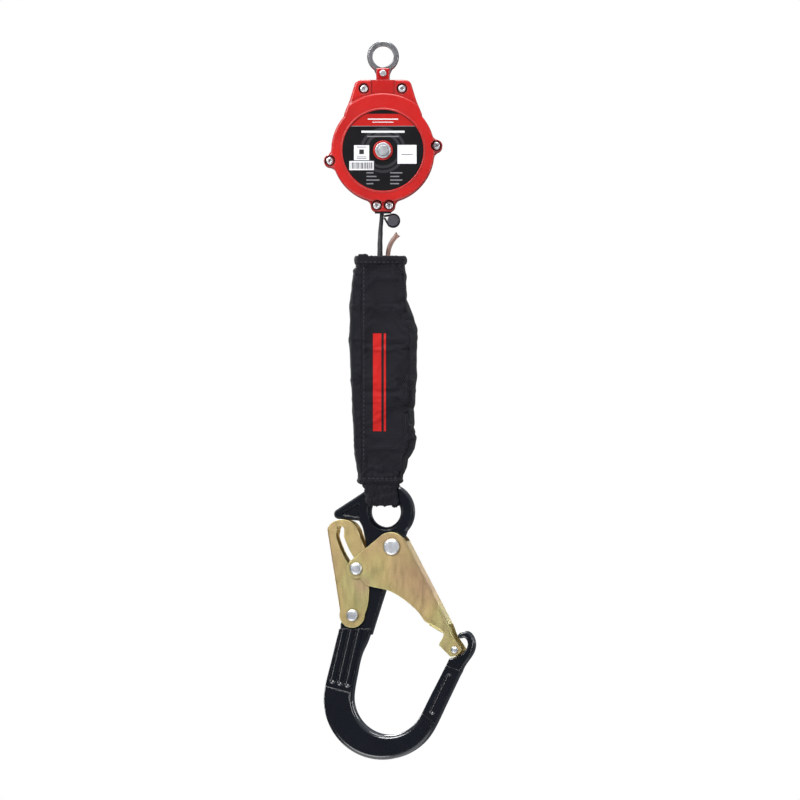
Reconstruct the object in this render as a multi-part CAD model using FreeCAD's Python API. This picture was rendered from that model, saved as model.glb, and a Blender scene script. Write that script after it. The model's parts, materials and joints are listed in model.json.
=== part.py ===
"""Self retracting web lifeline with a scaffold hook, built as an assembly.

Frame: millimetres, origin at the centre of the anchor eye, X to the right,
Y away from the front face, Z up.  Every node is written as its own STEP file.
"""
import FreeCAD, Part
import math
import os

# ---------------------------------------------------------------- dimensions
# anchor eye, clevis and swivel
EYE_HOLE = 9.0
EYE_OUTER = 13.7
EYE_HALF = 4.0
NECK_HALF = 6.2
CROSS_Z = -14.7
CROSS_R = 2.5
CLEVIS_X = 5.85
CLEVIS_Y = 9.0
CLEVIS_TOP = -10.2
CLEVIS_BASE = -25.0
CLEVIS_SLOT = 4.3
CLEVIS_FLOOR = -21.4
STEM_R = 5.0
STEM_END = -44.8

# housing
HUB_Z = -81.3
BODY_R = 44.4
STEP_R = 49.0
CAVITY_R = 41.4
DOME_Y = 23.0
PLATE_Y = 19.5
BASE_Y = 17.0
WALL_Y = 20.2
TOP_Z = -20.7
LUG_R = 5.4
LABEL_R = 34.7
BOSS_R = 8.4
EXIT_Z = -134.6
# screw centre x, z and the level of the cover face around it
SCREWS = [
    (-16.3, -28.3, PLATE_Y),
    (16.3, -28.3, PLATE_Y),
    (-45.4, -90.0, BASE_Y),
    (45.7, -77.3, BASE_Y),
    (-5.3, -128.2, BASE_Y),
    (5.3, -128.2, BASE_Y),
]
SCREW_R = 2.0
SCREW_HEAD = 3.6
COUNTERBORE = 4.7
BORE_DEPTH = 2.6
SCREW_REACH = 13.2

# load frame, shaft and centre bolt
FRAME_Y = (17.5, 19.5)
BRIDGE_Z = (-38.0, -34.5)
SHAFT_R = 5.0
BOLT_R = 2.5

# drum and webbing
CORE_R = 11.0
FLANGE_R = 34.5
FLANGE_Y = (9.5, 11.5)
WEB_HALF = 8.5
WEB_T = 1.8
WEB_PITCH = 2.0
COIL_R = 31.0
LEAD_R = 32.3
ROLLER_R = 3.4

# centrifugal brake
TEETH = 10
TOOTH_TIP = 31.6
TOOTH_ROOT = 35.8
TOOTH_FACE = 127.0
RATCHET_Y = (-17.2, -12.2)
PAWL_Y = (-16.4, -12.8)
PAWL_PIVOT = 20.0
PAWL_NOSE = (-16.6, 23.4)
PIN_R = 1.5

# power spring
CUP_R = 38.0
CUP_Y = (11.9, 17.2)

# stopper and absorber pack
STOP_X = 8.7
STOP_Z = -141.0
STOP_R = 4.9
POUCH_Y = 14.0
POUCH_WALL = 2.2
MOUTH_Z = -172.3

# hook, all taken from the centre of the hook eye
HOOK_X = 2.9
HOOK_Z = -391.2
HOOK_TURN = -13.0
HOOK_EYE = 13.2
HOOK_EYE_OUTER = 24.6
PLATE_HALF = 5.0
SHANK_HALF = 6.8
BOWL_HALF = 8.0
NOSE_HALF = 6.4
GATE_PIVOT = (7.0, -30.0)
LOCK_PIN = (-24.4, -48.9)
LEVER_PIVOT = (-28.3, -89.1)
NOSE_PIN = (62.2, -118.0)
LEVER_Y = (5.5, 7.5)
GATE_Y = (8.0, 10.0)
SHEET = 2.0
GATE_TRAVEL = 47.0
LEVER_RATIO = 0.2
SLOT_HALF = 3.5

FIT = 0.06


# ------------------------------------------------------------------- helpers
def at(x, z, y=0.0):
    """Point from front-view coordinates and a depth."""
    return FreeCAD.Vector(x, y, z)


def rod(x, z, radius, y0, y1):
    """Cylinder along Y."""
    return Part.makeCylinder(radius, y1 - y0, at(x, z, y0), at(0, 0, 1))


def ring(x, z, outer, inner, y0, y1):
    """Tube along Y."""
    return rod(x, z, outer, y0, y1).cut(rod(x, z, inner, y0 - 1, y1 + 1))


def post(radius, z0, z1, x=0.0, y=0.0):
    """Cylinder along Z."""
    return Part.makeCylinder(radius, z1 - z0, at(x, z0, y), at(0, 1))


def block(x0, x1, y0, y1, z0, z1):
    """Box from its six limits."""
    return Part.makeBox(x1 - x0, y1 - y0, z1 - z0, at(x0, z0, y0))


def slab(face, y0, y1):
    """Front-view face made solid between two depths."""
    return face.translated(at(0, 0, y0)).extrude(at(0, 0, y1 - y0))


def both(face, y0, y1):
    """The same slab in front of and behind the middle plane."""
    return [slab(face, -y1, -y0), slab(face, y0, y1)]


def disc(x, z, radius):
    """Round face in the front view."""
    return Part.Face(Part.Wire(Part.makeCircle(radius, at(x, z), at(0, 0, 1))))


def joined(shapes):
    """One clean solid from overlapping ones."""
    return shapes[0].fuse(shapes[1:]).removeSplitter()


def merged(faces):
    """One clean face from overlapping ones."""
    return joined(faces).Faces[0]


def turned(point, centre, degrees):
    """Front-view point turned clockwise about a centre."""
    a = math.radians(degrees)
    x = point[0] - centre[0]
    z = point[1] - centre[1]
    return (
        centre[0] + x * math.cos(a) + z * math.sin(a),
        centre[1] - x * math.sin(a) + z * math.cos(a),
    )


def on_circle(centre, radius, degrees):
    """Front-view point on a circle, counted counter-clockwise from +X."""
    a = math.radians(degrees)
    return (centre[0] + radius * math.cos(a), centre[1] + radius * math.sin(a))


def polygon(corners):
    """Face from (x, z) or (x, z, corner radius) points."""
    count = len(corners)
    area = 0.0
    for i in range(count):
        area += corners[i - 1][0] * corners[i][1] - corners[i][0] * corners[i - 1][1]
    if area > 0:
        corners = corners[::-1]
    edges = []
    ends = []
    for i, corner in enumerate(corners):
        here = at(corner[0], corner[1])
        radius = corner[2] if len(corner) > 2 else 0.0
        if radius == 0.0:
            ends.append((here, here))
            continue
        before = at(*corners[i - 1][:2]).sub(here).normalize()
        after = at(*corners[(i + 1) % count][:2]).sub(here).normalize()
        half = before.getAngle(after) / 2.0
        run = radius / math.tan(half)
        start = here.add(before * run)
        end = here.add(after * run)
        middle = before.add(after).normalize() * (radius / math.sin(half) - radius)
        edges.append(Part.Arc(start, here.add(middle), end).toShape())
        ends.append((start, end))
    for i in range(count):
        a = ends[i][1]
        b = ends[(i + 1) % count][0]
        if a.distanceToPoint(b) > 1e-6:
            edges.append(Part.makeLine(a, b))
    return Part.Face(Part.Wire(Part.__sortEdges__(edges)))


def spline(points):
    """Smooth edge through front-view points."""
    curve = Part.BSplineCurve()
    curve.interpolate([at(x, z) for x, z in points])
    return curve.toShape()


def outline(start, *steps):
    """Closed face from points, (middle, end) arcs and lists for smooth curves."""
    edges = []
    here = start
    for step in steps:
        if isinstance(step, list):
            edges.append(spline([here] + step))
            here = step[-1]
        elif isinstance(step[0], tuple):
            edges.append(Part.Arc(at(*here), at(*step[0]), at(*step[1])).toShape())
            here = step[1]
        else:
            edges.append(Part.makeLine(at(*here), at(*step)))
            here = step
    if math.dist(here, start) > 1e-6:
        edges.append(Part.makeLine(at(*here), at(*start)))
    return Part.Face(Part.Wire(edges))


def strip(points, half, rounded=False):
    """Face of even width along a centre line."""
    left = []
    right = []
    last = len(points) - 1
    for i, point in enumerate(points):
        a = points[max(i - 1, 0)]
        b = points[min(i + 1, last)]
        length = math.dist(a, b)
        nx = -(b[1] - a[1]) / length * half
        nz = (b[0] - a[0]) / length * half
        left.append((point[0] + nx, point[1] + nz))
        right.append((point[0] - nx, point[1] - nz))
    caps = []
    for end, inner, a, b in ((last, last - 1, left[-1], right[-1]), (0, 1, right[0], left[0])):
        if rounded:
            reach = half / math.dist(points[end], points[inner])
            x = points[end][0] + (points[end][0] - points[inner][0]) * reach
            z = points[end][1] + (points[end][1] - points[inner][1]) * reach
            caps.append(Part.Arc(at(*a), at(x, z), at(*b)).toShape())
        else:
            caps.append(Part.makeLine(at(*a), at(*b)))
    edges = [spline(left), caps[0], spline(right[::-1]), caps[1]]
    return Part.Face(Part.Wire(edges))


def spiral(inner, outer, pitch, per_turn=24):
    """Centre line of a wound strip about the drum axis."""
    steps = int((outer - inner) / pitch * per_turn)
    points = []
    for i in range(steps + 1):
        radius = inner + (outer - inner) * i / steps
        points.append(on_circle((0.0, HUB_Z), radius, 360.0 * i / per_turn))
    return points


def even(a, b, step=2.0):
    """Points along a straight run, the end left out."""
    count = max(2, int(math.dist(a, b) / step))
    return [(a[0] + (b[0] - a[0]) * i / count, a[1] + (b[1] - a[1]) * i / count)
            for i in range(count)]


def level_edges(solid, y, shortest=0.0):
    """Edges of a solid that lie wholly at one depth."""
    picked = []
    for edge in solid.Edges:
        box = edge.BoundBox
        level = abs(box.YMin - y) < 1e-4 and abs(box.YMax - y) < 1e-4
        if level and edge.Length > shortest:
            picked.append(edge)
    return picked


def softened(solid, radius, *levels, shortest=0.0):
    """Solid with the rims at the given depths rounded."""
    edges = []
    for y in levels:
        edges += level_edges(solid, y, shortest)
    return solid.makeFillet(radius, edges)


def hexagon(x, z, across, y0, y1):
    """Hexagonal prism along Y."""
    radius = across / math.sqrt(3.0)
    corners = [on_circle((x, z), radius, 60.0 * i) for i in range(6)]
    return slab(polygon(corners), y0, y1)


def button(x, z, radius, height, y, way):
    """Domed head standing on the depth y, towards way (-1 front, 1 back)."""
    low, high = sorted((y, y + way * height))
    return softened(rod(x, z, radius, low, high), height * 0.7, y + way * height)


def mirrored(shape):
    """Copy on the other side of the middle plane."""
    return shape.mirror(FreeCAD.Vector(0, 0, 0), at(0, 0, 1))


def at_hook(shape):
    """Shape drawn about the hook eye, set at its place and turn."""
    placed = shape.copy()
    placed.rotate(FreeCAD.Vector(0, 0, 0), at(0, 1), HOOK_TURN)
    placed.translate(at(HOOK_X, HOOK_Z))
    return placed


# -------------------------------------------------------- anchor and clevis
def anchor_nodes():
    """Eye, clevis block, cross pin, swivel nut and thrust washer."""
    face = merged([
        disc(0, 0, EYE_OUTER),
        polygon([(-9.0, -9.0), (9.0, -9.0), (NECK_HALF, CROSS_Z), (-NECK_HALF, CROSS_Z)]),
        disc(0, CROSS_Z, NECK_HALF),
    ])
    eye = slab(face, -EYE_HALF, EYE_HALF)
    eye = eye.makeChamfer(1.0, level_edges(eye, -EYE_HALF) + level_edges(eye, EYE_HALF))
    hole = rod(0, 0, EYE_HOLE, -EYE_HALF, EYE_HALF)
    eye = eye.cut(hole).cut(rod(0, CROSS_Z, CROSS_R + FIT, -9, 9))

    body = block(-CLEVIS_X, CLEVIS_X, -CLEVIS_Y, CLEVIS_Y, CLEVIS_BASE, CLEVIS_TOP)
    upright = [e for e in body.Edges if e.BoundBox.ZLength > 10]
    body = body.makeFillet(1.6, upright)
    rims = [e for e in body.Edges if e.BoundBox.ZMin > CLEVIS_TOP - 0.01]
    body = body.makeFillet(1.2, rims)
    body = body.cut(block(-9, 9, -CLEVIS_SLOT, CLEVIS_SLOT, CLEVIS_FLOOR, 0))
    body = body.fuse(post(STEM_R, STEM_END, CLEVIS_BASE + 0.5)).removeSplitter()
    body = body.cut(rod(0, CROSS_Z, CROSS_R + 0.02, -12, 12))

    pin = joined([
        rod(0, CROSS_Z, CROSS_R, -CLEVIS_Y, CLEVIS_Y),
        button(0, CROSS_Z, 3.0, 1.0, -CLEVIS_Y, -1),
        button(0, CROSS_Z, 3.0, 1.0, CLEVIS_Y, 1),
    ])
    nut = hexagon(0, 0, 15.0, STEM_END, -40.0)
    nut.rotate(FreeCAD.Vector(0, 0, 0), FreeCAD.Vector(1, 0, 0), 90)
    nut = nut.cut(post(STEM_R + 0.05, -50, 0))
    washer = post(8.6, -39.8, -38.2).cut(post(STEM_R + 0.1, -50, 0))
    return {
        "anchor_eye_ring": eye,
        "swivel_clevis": body,
        "eye_cross_pin": pin,
        "swivel_nut": nut,
        "thrust_washer": washer,
    }


# ------------------------------------------------------------------ housing
def cover_faces():
    """Base outline and top plate outline."""
    top = polygon([
        (-23.2, TOP_Z, 6.0), (23.2, TOP_Z, 6.0), (28.6, -38.4, 30.0), (33.5, -50.5),
        (30.0, -72.0), (-30.0, -72.0), (-33.5, -50.5), (-28.6, -38.4, 30.0),
    ])
    lugs = [disc(x, z, LUG_R) for x, z, level in SCREWS if level == BASE_Y]
    nozzle = polygon([(-10.5, -120.0), (10.5, -120.0), (8.0, -133.6, 2.0), (-8.0, -133.6, 2.0)])
    base = merged([disc(0, HUB_Z, BODY_R), top, nozzle] + lugs)
    base = base.makeOffset2D(6.0).makeOffset2D(-6.0)
    return base, top


def cover_blank():
    """Front half of the housing before the holes are made."""
    base, top = cover_faces()
    plate = softened(slab(base, -BASE_Y, 0), 2.4, -BASE_Y)
    crown = softened(slab(top, -PLATE_Y, 0), 1.8, -PLATE_Y)
    step = rod(0, HUB_Z, STEP_R, -DOME_Y, 0).common(slab(top, -DOME_Y, 0))
    round_top = joined([rod(0, HUB_Z, BODY_R, -DOME_Y, 0), step])
    round_top = softened(round_top, 1.6, -DOME_Y)
    blank = joined([plate, crown, round_top])
    rim = ring(0, HUB_Z, LABEL_R + 1.6, LABEL_R, -DOME_Y - 0.5, -DOME_Y + 1)
    rim = rim.makeChamfer(0.45, level_edges(rim, -DOME_Y - 0.5))
    recess = ring(0, HUB_Z, LABEL_R, BOSS_R, -DOME_Y - 1, -DOME_Y + 1)
    boss = rod(0, HUB_Z, BOSS_R, -DOME_Y - 1.0, -DOME_Y + 1.5)
    boss = softened(boss, 0.6, -DOME_Y - 1.0)
    blank = blank.fuse([rim, boss]).cut(recess)
    return blank


def housing_nodes():
    """Covers, labels, screws and the fixed parts they enclose."""
    blank = cover_blank()
    hollow = [
        rod(0, HUB_Z, CAVITY_R, -WALL_Y, 1),
        block(-14, 14, -WALL_Y, 1, -52, -34.2),
        post(11.6, -25.6, -10),
        post(STEM_R + 0.4, -35, -25),
        block(-8.0, 6.0, -10.4, 1, -128.2, -116),
        block(-4.4, 2.8, -10.4, 1, -133, -127),
        rod(-5.3, -128.2, ROLLER_R + 0.5, -10.4, 1),
        rod(5.3, -128.2, ROLLER_R + 0.5, -10.4, 1),
        block(-7.2, 7.2, -13, 1, -140, -131.9),
        block(-10.4, 10.4, -PLATE_Y - 1, -PLATE_Y + 1.4, -33.6, -10),
        rod(0, HUB_Z, BOLT_R + 0.1, -30, 1),
    ]
    shell = blank.cut(hollow)
    front = shell
    rear = mirrored(shell)
    screws = []
    nuts = []
    for x, z, level in SCREWS:
        floor = -level + BORE_DEPTH
        front = front.cut([
            rod(x, z, COUNTERBORE, -30, floor),
            rod(x, z, SCREW_R + 0.15, -30, 1),
        ])
        rear = rear.cut([
            rod(x, z, SCREW_R + 0.15, -1, 30),
            hexagon(x, z, 7.3, SCREW_REACH - 2.9, 30),
        ])
        head = button(x, z, SCREW_HEAD, 2.2, floor, -1)
        socket = hexagon(x, z, 2.6, floor - 3, floor - 1.0)
        shank = rod(x, z, SCREW_R, floor, SCREW_REACH)
        screws.append(head.cut(socket).fuse(shank).removeSplitter())
        nut = hexagon(x, z, 7.0, SCREW_REACH - 2.8, SCREW_REACH - 0.2)
        nuts.append(nut.cut(rod(x, z, SCREW_R + 0.04, 0, 30)))

    label = ring(0, HUB_Z, LABEL_R - 0.25, BOSS_R + 0.3, -DOME_Y + 0.55, -DOME_Y + 0.97)
    washer = ring(0, HUB_Z, 6.7, BOLT_R + 0.1, -DOME_Y - 2.1, -DOME_Y - 1.05)
    washer = softened(washer, 0.4, -DOME_Y - 2.1)
    bolt = joined([
        hexagon(0, HUB_Z, 8.0, -DOME_Y - 5.2, -DOME_Y - 2.15),
        rod(0, HUB_Z, BOLT_R, -DOME_Y - 2.5, DOME_Y + 5.4),
    ])
    lock_nut = hexagon(0, HUB_Z, 8.0, DOME_Y + 2.15, DOME_Y + 5.2)
    lock_nut = lock_nut.cut(rod(0, HUB_Z, BOLT_R + 0.04, 0, 40))

    arm = merged([
        polygon([(-13, BRIDGE_Z[1]), (13, BRIDGE_Z[1]), (11, HUB_Z), (-11, HUB_Z)]),
        disc(0, HUB_Z, 13.0),
    ])
    bridge = block(-13, 13, -FRAME_Y[1], FRAME_Y[1], *BRIDGE_Z)
    frame = joined(both(arm, *FRAME_Y) + [bridge])
    frame = frame.cut([
        post(STEM_R + FIT, -50, -20),
        rod(0, HUB_Z, BOLT_R + 0.1, -30, 30),
    ])
    shaft = ring(0, HUB_Z, SHAFT_R, BOLT_R + 0.1, -FRAME_Y[0] + 0.1, FRAME_Y[0] - 0.1)

    guide = block(-7, 7, -12.8, 12.8, EXIT_Z, -132.0)
    guide = guide.cut(block(-3.3, 1.7, -9.4, 9.4, -140, -130))
    return {
        "front_cover": front,
        "rear_cover": rear,
        "front_label": label,
        "rear_label": mirrored(label),
        "cover_screws": Part.makeCompound(screws),
        "cover_nuts": Part.makeCompound(nuts),
        "centre_washers": Part.makeCompound([washer, mirrored(washer)]),
        "centre_bolt": bolt,
        "centre_lock_nut": lock_nut,
        "load_frame": frame,
        "drum_shaft": shaft,
        "exit_guide": guide,
    }


def brake_ring():
    """Ring with inward saw teeth that stops the pawls."""
    pitch = 360.0 / TEETH
    centre = (0.0, HUB_Z)
    corners = []
    for i in range(TEETH):
        face = TOOTH_FACE + i * pitch
        corners.append(on_circle(centre, TOOTH_TIP, face + 8.0))
        corners.append(on_circle(centre, TOOTH_ROOT, face + pitch))
        corners.append(on_circle(centre, TOOTH_TIP, face + pitch + 0.5))
    bore = slab(polygon(corners), RATCHET_Y[0] - 1, RATCHET_Y[1] + 1)
    return rod(0, HUB_Z, CAVITY_R - 0.2, *RATCHET_Y).cut(bore)


def spring_nodes():
    """Clock-type power spring and the cup that holds it."""
    cup = rod(0, HUB_Z, CUP_R, *CUP_Y)
    cup = cup.cut([
        rod(0, HUB_Z, CUP_R - 1.2, CUP_Y[0] + 0.8, CUP_Y[1] + 1),
        rod(0, HUB_Z, 10.0, CUP_Y[0] - 1, CUP_Y[1] + 1),
    ])
    coil = slab(strip(spiral(9.6, CUP_R - 2.2, 2.6), 0.4), 13.1, 16.8)
    return {"spring_cup": cup, "power_spring": coil}


def web_tangents():
    """Points where the webbing leaves the drum and meets the exit roller."""
    drum = (0.0, HUB_Z)
    roller = (SCREWS[4][0], SCREWS[4][1])
    roll = ROLLER_R + WEB_T / 2 + 0.1
    span = math.dist(drum, roller)
    lean = math.degrees(math.asin((LEAD_R + roll) / span))
    down = math.degrees(math.atan2(roller[1] - drum[1], roller[0] - drum[0]))
    leave = down + lean - 90.0
    return leave % 360.0, (leave + 180.0) % 360.0, roll


def web_lead():
    """Fixed run of webbing from the drum to the exit."""
    leave, meet, roll = web_tangents()
    drum = (0.0, HUB_Z)
    roller = (SCREWS[4][0], SCREWS[4][1])
    points = [on_circle(drum, LEAD_R, leave - 32.0 + 4.0 * i) for i in range(8)]
    points += even(on_circle(drum, LEAD_R, leave), on_circle(roller, roll, meet))
    points += [on_circle(roller, roll, meet * (1 - i / 6.0)) for i in range(6)]
    points += even((roller[0] + roll, roller[1]), (roller[0] + roll, EXIT_Z), 1.2)
    points.append((roller[0] + roll, EXIT_Z + 0.1))
    return slab(strip(points, WEB_T / 2), -WEB_HALF, WEB_HALF)


def roller(index):
    """Steel tube that turns on one of the two lower cover screws."""
    x, z = SCREWS[index][:2]
    tube = ring(x, z, ROLLER_R, SCREW_R + 0.32, -10.0, 10.0)
    return tube.makeFillet(0.4, level_edges(tube, -10.0)[:1])


# --------------------------------------------------------------------- drum
def drum_nodes():
    """Core, flanges, bushes, arbor, screws, pawl pins and the wound webbing."""
    core = ring(0, HUB_Z, CORE_R, 7.0, -9.4, 9.4)
    screws = []
    for i in range(4):
        x, z = on_circle((0, HUB_Z), 9.0, 45 + 90 * i)
        core = core.cut(rod(x, z, 1.2, -12, 12))
        screws.append(rod(x, z, 1.15, -11.8, 11.8))
    flanges = {}
    for name, y0, y1 in (("drum_front_flange", -FLANGE_Y[1], -FLANGE_Y[0]),
                         ("drum_rear_flange", *FLANGE_Y)):
        plate = ring(0, HUB_Z, FLANGE_R, 7.2, y0, y1)
        for i in range(4):
            x, z = on_circle((0, HUB_Z), 22.0, 45 + 90 * i)
            plate = plate.cut(rod(x, z, 5.0, y0 - 1, y1 + 1))
            x, z = on_circle((0, HUB_Z), 9.0, 45 + 90 * i)
            plate = plate.cut(rod(x, z, 1.2, y0 - 1, y1 + 1))
        for side in (1, -1):
            plate = plate.cut(rod(0, HUB_Z + side * PAWL_PIVOT, PIN_R + 0.02, y0 - 1, y1 + 1))
        flanges[name] = plate
    bush = ring(0, HUB_Z, 6.95, SHAFT_R + FIT, -11.4, -2.0)
    arbor = ring(0, HUB_Z, 8.4, SHAFT_R + 0.4, 12.0, 17.0)
    arbor = arbor.fuse(ring(0, HUB_Z, 6.9, SHAFT_R + 0.4, 11.6, 12.2)).removeSplitter()
    pins = []
    springs = []
    for side in (1, -1):
        z = HUB_Z + side * PAWL_PIVOT
        pin = rod(0, z, PIN_R, -16.9, -FLANGE_Y[0])
        pins.append(pin.fuse(rod(0, z, 2.4, -17.1, -16.6)).removeSplitter())
        leg = block(-9.0, 0, -12.4, -12.0, -0.3, 0.3)
        leg.translate(at(0, 2.2))
        turn = ring(0, 0, 2.6, PIN_R + 0.2, -12.6, -11.7)
        spring = joined([turn, leg])
        if side < 0:
            spring.rotate(FreeCAD.Vector(0, 0, 0), at(0, 0, 1), 180)
        spring.translate(at(0, z))
        springs.append(spring)
    coil = strip(spiral(CORE_R + 0.3 + WEB_T / 2, COIL_R - WEB_T / 2, WEB_PITCH), WEB_T / 2)
    nodes = {
        "drum_core": core,
        "drum_screws": Part.makeCompound(screws),
        "drum_bushes": Part.makeCompound([bush, mirrored(bush)]),
        "spring_arbor": arbor,
        "pawl_pins": Part.makeCompound(pins),
        "pawl_springs": Part.makeCompound(springs),
        "webbing_coil": slab(coil, -WEB_HALF, WEB_HALF),
    }
    nodes.update(flanges)
    return nodes


def pawl(side):
    """Centrifugal pawl, side 1 above the shaft and -1 below it."""
    nose = PAWL_NOSE
    arm = polygon([(1.6, 16.9), (0.4, 23.6), (-8.0, 25.0), (nose[0] - 0.9, nose[1] + 1.3),
                   (nose[0] - 1.2, nose[1] - 1.1), (-9.0, 20.6)])
    face = merged([disc(0, PAWL_PIVOT, 3.6), arm, disc(nose[0], nose[1], 1.6),
                   disc(4.6, PAWL_PIVOT - 1.2, 2.4)])
    body = slab(face, *PAWL_Y)
    body = body.cut(rod(0, PAWL_PIVOT, PIN_R + FIT, -20, -10))
    if side < 0:
        body.rotate(FreeCAD.Vector(0, 0, 0), at(0, 0, 1), 180)
    body.translate(at(0, HUB_Z))
    return body


# --------------------------------------------------------- stopper and pack
def teardrop(x, z, radius, tip):
    """Disc drawn out to a point."""
    span = math.dist((x, z), tip)
    toward = math.degrees(math.atan2(tip[1] - z, tip[0] - x))
    spread = math.degrees(math.acos(radius / span))
    a = on_circle((x, z), radius, toward + spread)
    b = on_circle((x, z), radius, toward - spread)
    return merged([disc(x, z, radius), polygon([tip, a, (x, z), b])])


def pouch_outline():
    """Front view of the absorber cover, narrow at both ends."""
    return outline(
        (-21.5, MOUTH_Z),
        (17.5, MOUTH_Z),
        [(18.9, -176.0), (19.9, -190.0), (20.6, -205.0), (23.5, -219.5), (28.0, -233.0),
         (29.2, -245.0), (28.9, -278.0), (26.8, -300.0), (27.2, -315.0), (28.2, -328.0),
         (24.6, -340.0), (19.0, -353.0), (17.2, -358.0)],
        (-20.2, -358.0),
        [(-21.4, -354.0), (-24.4, -342.4), (-25.2, -327.1), (-26.5, -300.1),
         (-27.6, -278.0), (-28.6, -241.9), (-28.2, -215.3), (-26.6, -196.0),
         (-23.9, -178.0), (-21.5, MOUTH_Z)],
    )


def serpentine(layers, pitch, y0, thick, x0, x1, z0, z1):
    """Webbing folded back and forth in the depth direction."""
    parts = []
    for i in range(layers):
        y = y0 + pitch * i
        parts.append(block(x0, x1, y, y + thick, z0, z1))
        if i == layers - 1:
            continue
        z = z1 if i % 2 == 0 else z0
        middle = y + (pitch + thick) / 2
        outer = Part.makeCylinder((pitch + thick) / 2, x1 - x0, at(x0, z, middle), at(1, 0))
        inner = Part.makeCylinder((pitch - thick) / 2, x1 - x0 + 2, at(x0 - 1, z, middle), at(1, 0))
        low, high = (z, z + 9) if i % 2 == 0 else (z - 9, z)
        half = block(x0 - 1, x1 + 1, y0 - 5, y0 + pitch * layers + 5, low, high)
        parts.append(outer.cut(inner).common(half))
    return joined(parts)


def pack_nodes():
    """Webbing below the exit, stopper, pouch, tear webbing and loops."""
    exit_x = SCREWS[4][0] + ROLLER_R + WEB_T / 2 + 0.1
    line = even((exit_x, EXIT_Z - 0.3), (-2.0, -147.0)) + even((-2.0, -147.0), (-2.7, -171.0))
    web_line = slab(strip(line + [(-2.7, -171.0)], 1.1), -WEB_HALF, WEB_HALF)
    loop = slab(teardrop(STOP_X, STOP_Z, STOP_R + 1.2, (0.8, -136.6)), -WEB_HALF, WEB_HALF)
    loop = loop.cut(rod(STOP_X, STOP_Z, STOP_R + 0.1, -20, 20))
    pin = softened(rod(STOP_X, STOP_Z, STOP_R, -10.5, 10.5), 0.8, -10.5, 10.5)

    pouch = slab(pouch_outline(), -POUCH_Y, POUCH_Y)
    pouch = softened(pouch, 5.0, -POUCH_Y, POUCH_Y)
    room = polygon([
        (-19.0, -175.0), (15.0, -175.0), (18.0, -212.0), (25.5, -240.0), (25.5, -280.0),
        (23.5, -325.0), (16.0, -350.0), (-17.5, -350.0), (-21.5, -325.0),
        (-25.0, -245.0), (-23.5, -200.0),
    ])
    pouch = pouch.cut([
        slab(room, -POUCH_Y + POUCH_WALL, POUCH_Y - POUCH_WALL),
        block(-9, 11.5, -10, 10, -180, -160),
        block(-9, 14, -10, 10, -365, -345),
    ])

    gather = polygon([
        (-20.2, -358.4), (-19.9, -366.5, 1.5), (-15.4, -370.5, 2.0), (-14.6, -381.0, 3.0),
        (-9.5, -386.4, 2.0), (13.6, -386.2, 3.0), (14.8, -371.0, 2.0), (13.6, -366.5, 2.0),
        (17.0, -358.4),
    ])
    gather = softened(slab(gather, -12.6, 12.6), 2.0, -12.6, 12.6)
    slot = block(-60, 60, -6.1, 6.1, -30, 28.2)
    core = block(-7.2, 7.2, -8.7, 8.7, -30, 60)
    gather = gather.cut([at_hook(slot), at_hook(core)])

    link = joined([
        block(-5.2, -3.0, -WEB_HALF, WEB_HALF, -196, -171.6),
        block(0.2, 2.4, -WEB_HALF, WEB_HALF, -196, -184),
        block(-5.2, 2.4, -WEB_HALF, WEB_HALF, -198.2, -196),
    ])
    tear = serpentine(8, 2.6, -9.9, 2.0, -17.5, 16.5, -337.0, -205.0)
    tail_line = [(4.3, -174.0), (4.4, -169.7), (5.2, -164.6), (7.2, -159.8),
                 (10.0, -155.8), (12.9, -152.7)]
    tail = slab(strip(tail_line, 2.2), -2.2, -0.6)

    outer = block(-6.5, 6.5, -8.2, 8.2, 8.5, 49.0)
    outer = outer.makeFillet(3.2, [e for e in outer.Edges if e.BoundBox.XLength > 10])
    void = block(-9, 9, -5.8, 5.8, 10.9, 46.6)
    void = void.makeFillet(1.6, [e for e in void.Edges if e.BoundBox.XLength > 10])
    return {
        "web_line": web_line,
        "stopper_loop": loop,
        "stopper_pin": pin,
        "absorber_pouch": pouch,
        "pouch_gather": gather,
        "upper_web_link": link,
        "tear_web_pack": tear,
        "pouch_tail": tail,
        "lower_web_loop": at_hook(outer.cut(void)),
    }


# --------------------------------------------------------------------- hook
def rivet(centre, shank, head, seat, rise):
    """Riveted pin along Y with a domed head on each side."""
    x, z = centre
    return joined([
        rod(x, z, shank, -seat, seat),
        button(x, z, head, rise, -seat, -1),
        button(x, z, head, rise, seat, 1),
    ])


def hook_plate():
    """Eye, fin and the flat upper body that carries both pivots."""
    high = (-13.31, 20.69)
    return outline(
        high,
        (-43.5140, 1.2596),
        ((-45.2960, -3.2324), (-41.6170, -6.3659)),
        (-23.4, -7.9),
        [(-20.6, -12.5), (-18.4, -21.8), (-16.4, -33.0), (-16.6, -46.0),
         (-20.2, -57.0), (-27.0, -68.0), (-33.4, -81.0), (-39.6, -97.0)],
        (-39.9, -106.0),
        (-12.8, -106.0),
        [(-9.4, -95.0), (-4.2, -79.0), (0.1, -65.7), (4.6, -53.0), (10.9, -38.4)],
        ((15.9, -32.6), (15.0, -25.4)),
        (18.3, -16.44),
        ((18.85, 15.8), high),
    )


def hook_bowl():
    """Shank, round bowl and the leg that rises to the nose."""
    outer = [(-43.9, -114.0), (-47.9, -130.0)]
    outer += [on_circle((-3.0, -161.9), 51.3, 166.0 + 12.9 * i) for i in range(14)]
    outer += [(50.2, -170.0), (58.4, -153.1), (66.6, -136.2)]
    inner = [(46.1, -146.0), (38.6, -160.4)]
    inner += [on_circle((2.8, -160.0), 32.0, 332.4 - 12.5 * i) for i in range(14)]
    inner += [(-25.7, -138.0), (-21.6, -122.0), (-16.6, -111.2), (-14.0, -101.0)]
    return outline((-40.6, -101.0), outer, (53.5, -131.6), inner)


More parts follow.
